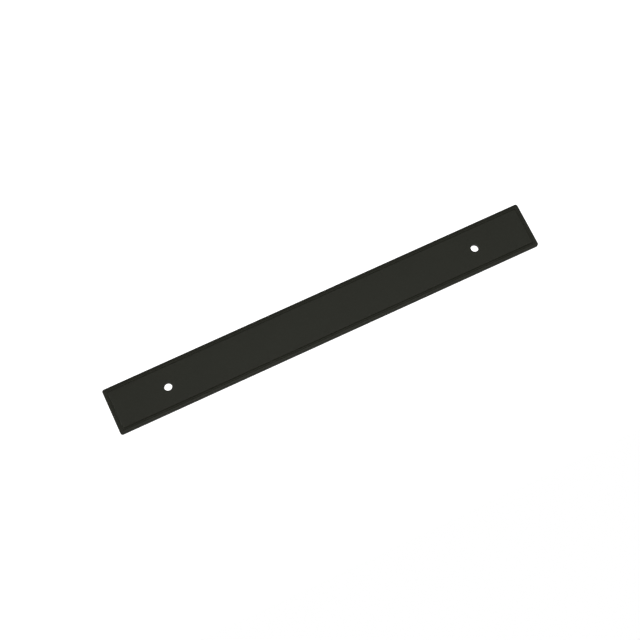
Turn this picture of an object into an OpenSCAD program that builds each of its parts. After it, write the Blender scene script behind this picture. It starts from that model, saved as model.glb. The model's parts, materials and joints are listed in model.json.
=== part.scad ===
// Backplate for a cabinet or drawer pull: a long cast plate with a flat raised
// face, a round-bottomed groove around it, a sloped flange outside the groove,
// and a plain screw hole for each post of the pull. The back is flat.
// X runs along the plate, Z up across it, and the front looks along -Y.
// The back lies on the plane y = 0, and the origin is midway between the holes.

/* [Plate] */
// Length of the plate
plate_l = 261; // [215:0.5:310]
// Width of the plate
plate_w = 27.9; // [20:0.1:40]
// Thickness from the back to the raised face
plate_t = 3.2; // [2.6:0.1:6]
// Radius of the upright corners of the outline
corner_r = 1.4; // [0.5:0.1:4]

/* [Border] */
// Width of the border around the raised face, groove and flange together
border_w = 2.85; // [2.4:0.05:4]
// How far the flange's outer edge lies below the raised face
edge_drop = 0.7; // [0.6:0.05:0.8]
// How far the flange rises from its outer edge to the middle of the groove
flange_rise = 0.35; // [0.25:0.05:0.4]

/* [Groove] */
// Radius of the round bottom of the groove
groove_r = 0.75; // [0.75:0.05:1]
// Depth of the groove below the raised face
groove_depth = 0.7; // [0.6:0.05:0.75]

/* [Screw holes] */
// Distance between the centres of the two screw holes
hole_spacing = 192; // [128:1:200]
// Diameter of each screw hole
hole_d = 4.6; // [3:0.1:6]

/* [Hidden] */
$fn = 64;
slack = 1;                                    // how far a drill passes the face it leaves
wall_h = plate_t - edge_drop;                 // height of the outer side wall
groove_up = plate_t - groove_depth + groove_r; // height of the centre of the groove's arc
groove_half = sqrt(pow(groove_r, 2) - pow(groove_r - groove_depth, 2)); // half the groove's width
groove_in = border_w - groove_half;           // from the outline to the middle of the groove
coat = [0.17, 0.175, 0.155];

// Turns a shape drawn in plan so that it rises from the back towards the front.
module facing_front() {
    rotate([90, 0, 0]) children();
}

// A rectangle with round corners, centred on the origin.
module rounded_rect(size, r) {
    square([size[0] - 2 * r, size[1]], center = true);
    square([size[0], size[1] - 2 * r], center = true);
    for (x = [-1, 1], y = [-1, 1])
        translate([x * (size[0] / 2 - r), y * (size[1] / 2 - r)]) circle(r);
}

// Half of the section, from the middle out to the edge, with its back on y = 0.
module half_section(half) {
    x = half - groove_in;
    difference() {
        polygon([[0, 0], [half, 0], [half, wall_h], [x, wall_h + flange_rise], [x, plate_t], [0, plate_t]]);
        translate([x, groove_up]) circle(groove_r);
    }
}

// The whole section across a span along X, drawn out to a length along Z.
module ridge(span, length) {
    rotate([0, 0, 180])
        linear_extrude(length, center = true) {
            half_section(span / 2);
            mirror([1, 0]) half_section(span / 2);
        }
}

// The part of the plan that is nearer to a long side than to an end.
module side_zone() {
    polygon([
        [-plate_l / 2, plate_w / 2], [plate_l / 2, plate_w / 2], [(plate_l - plate_w) / 2, 0],
        [plate_l / 2, -plate_w / 2], [-plate_l / 2, -plate_w / 2], [(plate_w - plate_l) / 2, 0]
    ]);
}

// The border runs round all four sides and meets at mitred corners.
module mitred_form() {
    intersection() {
        rotate([0, 90, 0]) ridge(plate_w, plate_l);
        facing_front() linear_extrude(plate_t) side_zone();
    }
    difference() {
        ridge(plate_l, plate_w);
        translate([0, slack, 0]) facing_front() linear_extrude(plate_t + 2 * slack) side_zone();
    }
}

module screw_holes() {
    for (x = [-1, 1])
        translate([x * hole_spacing / 2, slack, 0])
            facing_front() cylinder(h = plate_t + 2 * slack, d = hole_d);
}

module backplate() {
    color(coat)
        difference() {
            intersection() {
                mitred_form();
                facing_front() linear_extrude(plate_t) rounded_rect([plate_l, plate_w], corner_r);
            }
            screw_holes();
        }
}

backplate();
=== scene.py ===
import json
import math

import bmesh
import bpy
from mathutils import Matrix, Vector


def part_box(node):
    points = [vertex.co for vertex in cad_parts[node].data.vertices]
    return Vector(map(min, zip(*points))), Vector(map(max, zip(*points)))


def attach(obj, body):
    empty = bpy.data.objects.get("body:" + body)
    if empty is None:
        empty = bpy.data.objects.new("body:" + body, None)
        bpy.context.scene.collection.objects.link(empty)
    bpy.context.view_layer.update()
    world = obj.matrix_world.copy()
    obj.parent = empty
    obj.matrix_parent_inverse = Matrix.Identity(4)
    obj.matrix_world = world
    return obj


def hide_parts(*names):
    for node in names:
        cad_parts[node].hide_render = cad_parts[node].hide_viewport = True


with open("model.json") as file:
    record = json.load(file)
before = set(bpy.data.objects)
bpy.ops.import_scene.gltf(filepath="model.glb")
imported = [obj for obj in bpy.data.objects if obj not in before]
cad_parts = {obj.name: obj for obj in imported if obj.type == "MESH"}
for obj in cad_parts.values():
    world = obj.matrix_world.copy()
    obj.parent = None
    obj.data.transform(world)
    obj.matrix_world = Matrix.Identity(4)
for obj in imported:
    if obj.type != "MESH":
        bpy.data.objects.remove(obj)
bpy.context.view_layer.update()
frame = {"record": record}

MM = 0.001

# The plate, as the frame gives it. X is its length, Z its width, and its front looks along -Y.
LOW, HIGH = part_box("backplate")
HALF_L = (HIGH.x - LOW.x) / 2
HALF_W = (HIGH.z - LOW.z) / 2
THICK = HIGH.y - LOW.y
HOLES = next(m for m in frame["record"]["mounts"] if m["name"] == "screw_holes")["dims"]
HOLE_X = HOLES["spacing_x_mm"] * MM / 2
HOLE_R = HOLES["hole_r_mm"] * MM

# Its section: widths are measured in from the outline, heights from the back.
CORNER_R = 1.4 * MM
BORDER_W = 2.85 * MM
WALL_H = THICK - 0.7 * MM
FLANGE_RISE = 0.35 * MM
GROOVE_R = 0.75 * MM
GROOVE_DEPTH = 0.7 * MM

# How far casting and coat round its edges.
FACE_EDGE_R = 0.1 * MM
CREST_R = 0.12 * MM
OUTER_EDGE_R = 0.45 * MM
BACK_EDGE_R = 0.2 * MM
HOLE_EDGE_R = 0.15 * MM
MITRE_R = 0.2 * MM

# How far a path runs on over a flat face, measured from the corner that its arc rounds.
ONTO_BACK = 2 * BACK_EDGE_R
ONTO_FACE = 3 * FACE_EDGE_R
PAST_HOLE = 2 * HOLE_EDGE_R

# How finely curves are cut: an edge's arc, the groove, a corner of the outline, and a hole.
ARC_STEPS = 6
GROOVE_STEPS = 10
CORNER_STEPS = 8
HOLE_STEPS = 64

CREST_PASSES = 3          # passes that find where the flange meets the groove
FLAT_FACE_WEIGHT = 100    # out of 100, so that the largest face at a vertex sets its normal


def fillet(before, corner, after, radius):
    """The points of an arc that rounds a corner between two straight lines."""
    u, v = (before - corner).normalized(), (after - corner).normalized()
    half = u.angle(v) / 2
    reach = radius / math.tan(half)
    centre = corner + (u + v).normalized() * radius / math.sin(half)
    start, end = corner + u * reach - centre, corner + v * reach - centre
    turn = start.angle_signed(end)
    return [centre + Matrix.Rotation(-turn * i / ARC_STEPS, 2) @ start for i in range(ARC_STEPS + 1)]


def rounded_path(corners):
    """An open path of (point, radius) corners. Those with a radius become arcs."""
    path = [corners[0][0]]
    for (before, _), (corner, radius), (after, _) in zip(corners, corners[1:], corners[2:]):
        path += fillet(before, corner, after, radius) if radius else [corner]
    return path + [corners[-1][0]]


def groove_corners():
    """The groove's round bottom, from the flange's crest to the edge of the raised face."""
    up = THICK - GROOVE_DEPTH + GROOVE_R
    half = math.sqrt(GROOVE_R ** 2 - (GROOVE_R - GROOVE_DEPTH) ** 2)
    middle = BORDER_W - half
    face_angle = math.asin((THICK - up) / GROOVE_R)
    # The flange rises slowly, so each pass takes its height where the last one put the crest.
    slope = FLANGE_RISE / middle
    crest_drop = up - (WALL_H + FLANGE_RISE)
    for _ in range(CREST_PASSES):
        reach = math.sqrt(GROOVE_R ** 2 - crest_drop ** 2)
        crest_drop = up - (WALL_H + slope * (middle - reach))
    crest_angle = math.asin(crest_drop / GROOVE_R) - math.pi
    corners = []
    for i in range(GROOVE_STEPS + 1):
        a = crest_angle + (face_angle - crest_angle) * i / GROOVE_STEPS
        radius = {0: CREST_R, GROOVE_STEPS: FACE_EDGE_R}.get(i, 0)
        corners.append((Vector((middle + GROOVE_R * math.cos(a), up + GROOVE_R * math.sin(a))), radius))
    return corners


def front_path():
    """Round the side wall, over the flange and through the groove, to the raised face."""
    return rounded_path([
        (Vector((ONTO_BACK, 0)), 0),
        (Vector((0, 0)), BACK_EDGE_R),
        (Vector((0, WALL_H)), OUTER_EDGE_R),
        *groove_corners(),
        (Vector((BORDER_W + ONTO_FACE, THICK)), 0),
    ])


def hole_path():
    """Down one hole, as (distance out from its wall, height), from the raised face to the back."""
    return rounded_path([
        (Vector((PAST_HOLE, THICK)), 0),
        (Vector((0, THICK)), HOLE_EDGE_R),
        (Vector((0, 0)), HOLE_EDGE_R),
        (Vector((PAST_HOLE, 0)), 0),
    ])


def outline_ring(bm, inset, height):
    """One closed ring of vertices: a rectangle with round corners, in from the outline."""
    r = max(CORNER_R - inset, MITRE_R)
    x, z = HALF_L - inset - r, HALF_W - inset - r
    ring = []
    for quarter, (sx, sz) in enumerate(((1, 1), (-1, 1), (-1, -1), (1, -1))):
        for i in range(CORNER_STEPS + 1):
            a = math.pi / 2 * (quarter + i / CORNER_STEPS)
            ring.append(bm.verts.new((sx * x + r * math.cos(a), -height, sz * z + r * math.sin(a))))
    return ring


def hole_ring(bm, x, radius, height):
    """One closed ring of vertices round the axis of the hole at x."""
    angles = [2 * math.pi * i / HOLE_STEPS for i in range(HOLE_STEPS)]
    return [bm.verts.new((x + radius * math.cos(a), -height, radius * math.sin(a))) for a in angles]


def skin(bm, rings):
    """Joins each ring to the next with quads."""
    for a, b in zip(rings, rings[1:]):
        for i in range(len(a)):
            j = (i + 1) % len(a)
            bm.faces.new((a[i], a[j], b[j], b[i]))


def fill_flat(bm, rings):
    """Fills the flat face between an outer ring and the hole rings inside it."""
    edges = []
    for ring in rings:
        for i in range(len(ring)):
            pair = (ring[i], ring[(i + 1) % len(ring)])
            edges.append(bm.edges.get(pair) or bm.edges.new(pair))
    bmesh.ops.triangle_fill(bm, use_beauty=True, use_dissolve=False, edges=edges)


def new_object(name, bm):
    """A mesh object in the scene, made from a bmesh, which is freed."""
    mesh = bpy.data.meshes.new(name)
    bm.to_mesh(mesh)
    bm.free()
    obj = bpy.data.objects.new(name, mesh)
    bpy.context.scene.collection.objects.link(obj)
    return obj


def build_backplate():
    """The cast plate: its outside, its two holes, and the flat faces that join them."""
    bm = bmesh.new()
    outside = [outline_ring(bm, p.x, p.y) for p in front_path()]
    skin(bm, outside)
    holes = []
    for side in (-1, 1):
        rings = [hole_ring(bm, side * HOLE_X, HOLE_R + p.x, p.y) for p in hole_path()]
        skin(bm, rings)
        holes.append(rings)
    fill_flat(bm, [outside[-1]] + [rings[0] for rings in holes])
    fill_flat(bm, [outside[0]] + [rings[-1] for rings in holes])
    bmesh.ops.recalc_face_normals(bm, faces=bm.faces)
    for face in bm.faces:
        face.smooth = True
    plate = new_object("backplate_cast", bm)
    normals = plate.modifiers.new("flat_faces_stay_flat", "WEIGHTED_NORMAL")
    normals.weight = FLAT_FACE_WEIGHT
    return plate


# The coat's two tones, and the tint that its sheen takes.
DARK_TONE = (0.0160, 0.0171, 0.0092, 1)
LIGHT_TONE = (0.0178, 0.0189, 0.0104, 1)
SHEEN_TINT = (0.985, 1.0, 0.92, 1)
SMOOTHEST, ROUGHEST = 0.50, 0.58

# Its noise patterns: how many waves to a metre, and the octaves of detail.
TONE_NOISE = (60, 3)
GLOSS_NOISE = (900, 2)
PEEL_NOISE = (1400, 1)
SAND_NOISE = (7000, 2)
NOISE_LOW, NOISE_HIGH = 0.3, 0.7    # where most of a noise pattern's values lie

SAND_SHARE = 0.3                    # the sand's height, where the orange peel's is 1
BUMP_DEPTH = 0.02 * MM
BUMP_STRENGTH = 0.5


def black_coat():
    """Matte black powder coat with a faint olive tone: fine orange peel, a little sand, soft sheen."""
    material = bpy.data.materials.new("black_coat")
    material.use_nodes = True
    nodes, links = material.node_tree.nodes, material.node_tree.links
    shader = nodes["Principled BSDF"]
    shader.inputs["Specular Tint"].default_value = SHEEN_TINT
    place = nodes.new("ShaderNodeTexCoord")

    def noise(scale, detail):
        node = nodes.new("ShaderNodeTexNoise")
        node.inputs["Scale"].default_value = scale
        node.inputs["Detail"].default_value = detail
        links.new(place.outputs["Object"], node.inputs["Vector"])
        return node.outputs["Fac"]

    def spread(value, low, high):
        node = nodes.new("ShaderNodeMapRange")
        node.inputs["From Min"].default_value = NOISE_LOW
        node.inputs["From Max"].default_value = NOISE_HIGH
        node.inputs["To Min"].default_value = low
        node.inputs["To Max"].default_value = high
        links.new(value, node.inputs["Value"])
        return node.outputs["Result"]

    tone = nodes.new("ShaderNodeMix")
    tone.data_type = "RGBA"
    tone.inputs["A"].default_value = DARK_TONE
    tone.inputs["B"].default_value = LIGHT_TONE
    links.new(spread(noise(*TONE_NOISE), 0, 1), tone.inputs["Factor"])
    links.new(tone.outputs["Result"], shader.inputs["Base Color"])
    links.new(spread(noise(*GLOSS_NOISE), SMOOTHEST, ROUGHEST), shader.inputs["Roughness"])
    peel, sand = noise(*PEEL_NOISE), noise(*SAND_NOISE)
    height = nodes.new("ShaderNodeMath")
    height.operation = "MULTIPLY_ADD"
    height.inputs[1].default_value = SAND_SHARE
    links.new(sand, height.inputs[0])
    links.new(peel, height.inputs[2])
    bump = nodes.new("ShaderNodeBump")
    bump.inputs["Strength"].default_value = BUMP_STRENGTH
    bump.inputs["Distance"].default_value = BUMP_DEPTH
    links.new(height.outputs["Value"], bump.inputs["Height"])
    links.new(bump.outputs["Normal"], shader.inputs["Normal"])
    return material


def towards(azimuth, elevation):
    """The unit vector from the plate to a place, given in degrees round from its front and up."""
    around, up = math.radians(azimuth), math.radians(elevation)
    flat = math.cos(up)
    return Vector((flat * math.sin(around), -flat * math.cos(around), math.sin(up)))


# The camera stands in front, a little to the right and above, and is turned so far over that
# the plate's top edge is at the bottom of the picture. Angles are in degrees.
CAMERA_AIM = Vector((2.9 * MM, -THICK, 1.2 * MM))
CAMERA_DISTANCE = 797.6 * MM
CAMERA_AZIMUTH = 7.53
CAMERA_ELEVATION = 14.51
CAMERA_ROLL = -153.75
CAMERA_LENS = 79.4      # in mm, as the sensor's width is
SENSOR_WIDTH = 36
NEAREST_SEEN = 10 * MM


def place_camera():
    """Sets up the camera that the block above describes, and makes it the scene's."""
    camera = bpy.data.objects.new("camera", bpy.data.cameras.new("camera"))
    bpy.context.scene.collection.objects.link(camera)
    camera.data.sensor_width = SENSOR_WIDTH
    camera.data.lens = CAMERA_LENS
    camera.data.clip_start = NEAREST_SEEN
    back = towards(CAMERA_AZIMUTH, CAMERA_ELEVATION)
    level = (-back).to_track_quat("-Z", "Y").to_matrix()
    turned = level @ Matrix.Rotation(-math.radians(CAMERA_ROLL), 3, "Z")
    camera.matrix_world = Matrix.Translation(CAMERA_AIM + back * CAMERA_DISTANCE) @ turned.to_4x4()
    bpy.context.scene.camera = camera


# Softboxes stand round the plate: three in front, as one wide source, and one that grazes it.
# Each has a name, an azimuth and an elevation in degrees, and a power in watts.
SOFTBOX_SIZE = 400 * MM
SOFTBOX_DISTANCE = 700 * MM
SOFTBOXES = (
    ("softbox_left", -40, 0, 0.45),
    ("softbox_front", 0, 4, 0.87),
    ("softbox_right", 40, 0, 0.3),
    ("softbox_side", 95, 0, 1.8),
)

WHITE = (1, 1, 1, 1)

# The world's light: dim in front of the plate, bright behind it, and a narrow fade between.
ROOM_LIGHT = 0.17
SWEEP_LIGHT = 0.53
FADE_HALF = 0.1         # half the width of the fade, on a world of radius 1

FLOOR_COLOUR = (0.9, 0.9, 0.9, 1)
FLOOR_HALF = 6.0        # half of its side, in metres
FLOOR_Z = -0.4


def softbox(name, azimuth, elevation, power):
    """One square lamp that looks at the middle of the plate."""
    light = bpy.data.lights.new(name, "AREA")
    light.shape = "SQUARE"
    light.size = SOFTBOX_SIZE
    light.energy = power
    lamp = bpy.data.objects.new(name, light)
    bpy.context.scene.collection.objects.link(lamp)
    lamp.location = towards(azimuth, elevation) * SOFTBOX_DISTANCE
    lamp.rotation_euler = (-lamp.location).to_track_quat("-Z", "Y").to_euler()


def pale_floor():
    """A floor well under the plate. It is seen, but it doesn't light the plate."""
    bm = bmesh.new()
    bmesh.ops.create_grid(bm, x_segments=1, y_segments=1, size=FLOOR_HALF)
    floor = new_object("floor", bm)
    floor.location.z = FLOOR_Z
    material = bpy.data.materials.new("pale_floor")
    material.use_nodes = True
    shader = material.node_tree.nodes["Principled BSDF"]
    shader.inputs["Base Color"].default_value = FLOOR_COLOUR
    shader.inputs["Emission Color"].default_value = WHITE
    shader.inputs["Emission Strength"].default_value = 1.0
    floor.data.materials.append(material)
    floor.visible_diffuse = False
    floor.visible_glossy = False


def studio_world():
    """White to the camera. The plate sees a bright sweep behind it and a dim room in front."""
    world = bpy.data.worlds.new("studio")
    world.use_nodes = True
    bpy.context.scene.world = world
    nodes, links = world.node_tree.nodes, world.node_tree.links
    seen_by_plate = nodes["Background"]
    seen_by_plate.inputs["Color"].default_value = WHITE
    place = nodes.new("ShaderNodeTexCoord")
    split = nodes.new("ShaderNodeSeparateXYZ")
    fade = nodes.new("ShaderNodeMapRange")
    fade.inputs["From Min"].default_value = -FADE_HALF
    fade.inputs["From Max"].default_value = FADE_HALF
    fade.inputs["To Min"].default_value = ROOM_LIGHT
    fade.inputs["To Max"].default_value = SWEEP_LIGHT
    links.new(place.outputs["Generated"], split.inputs["Vector"])
    links.new(split.outputs["Y"], fade.inputs["Value"])
    links.new(fade.outputs["Result"], seen_by_plate.inputs["Strength"])
    seen_by_camera = nodes.new("ShaderNodeBackground")
    seen_by_camera.inputs["Color"].default_value = WHITE
    ray = nodes.new("ShaderNodeLightPath")
    mix = nodes.new("ShaderNodeMixShader")
    links.new(ray.outputs["Is Camera Ray"], mix.inputs[0])
    links.new(seen_by_plate.outputs["Background"], mix.inputs[1])
    links.new(seen_by_camera.outputs["Background"], mix.inputs[2])
    links.new(mix.outputs["Shader"], nodes["World Output"].inputs["Surface"])


def soft_studio():
    """The world's light and the softboxes, with colours shown as they are."""
    studio_world()
    for name, azimuth, elevation, power in SOFTBOXES:
        softbox(name, azimuth, elevation, power)
    bpy.context.scene.view_settings.view_transform = "Standard"


piece = build_backplate()
piece.data.materials.append(black_coat())
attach(piece, "root")
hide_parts("backplate")
place_camera()
soft_studio()
pale_floor()
